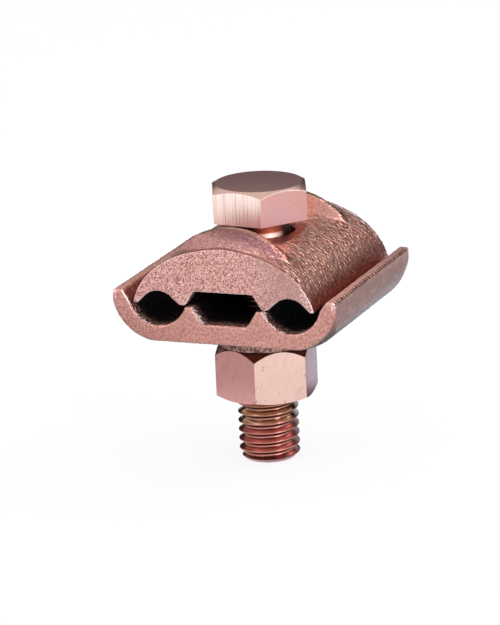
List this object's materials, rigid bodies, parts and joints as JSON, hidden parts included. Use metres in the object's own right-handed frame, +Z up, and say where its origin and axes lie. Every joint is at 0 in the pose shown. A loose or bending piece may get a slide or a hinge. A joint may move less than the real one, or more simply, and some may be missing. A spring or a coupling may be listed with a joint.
{
  "type": "cable to bus bar connector",
  "caption": "Cast copper alloy clamp: an arched upper jaw and a lipped lower jaw with cable grooves, drawn together by a hexagon bolt and nut.",
  "frame": {"origin": "centre of the bolt's free end", "axes": "+Z up the bolt towards its head, Y along the cables, X across the jaws"},
  "size_m": [0.0484, 0.0444, 0.0586],
  "materials": {
    "cast_copper": "satin",
    "bolt_copper": "satin"
  },
  "bodies": {
    "bolt": {"hex_bolt": "bolt_copper"},
    "upper_jaw": {"upper_jaw": "cast_copper"},
    "lower_jaw": {"lower_jaw": "cast_copper"},
    "nut": {"hex_nut": "bolt_copper"}
  },
  "joints": [
    {"name": "upper_jaw_lift", "type": "slide", "parent": "bolt", "child": "upper_jaw", "axis": [0, 0, 1], "range_m": [0, 0.0028]},
    {"name": "lower_jaw_drop", "type": "slide", "parent": "bolt", "child": "lower_jaw", "axis": [0, 0, -1], "range_m": [0, 0.0125]},
    {"name": "nut_turn", "type": "hinge", "parent": "lower_jaw", "child": "nut", "pos_m": [0, 0, 0.0193], "axis": [0, 0, -1], "range_deg": [0, 2303]}
  ],
  "couplings": [
    {"joint": "nut_turn", "follows": "lower_jaw_drop", "rad_per_m": 3215.6}
  ]
}
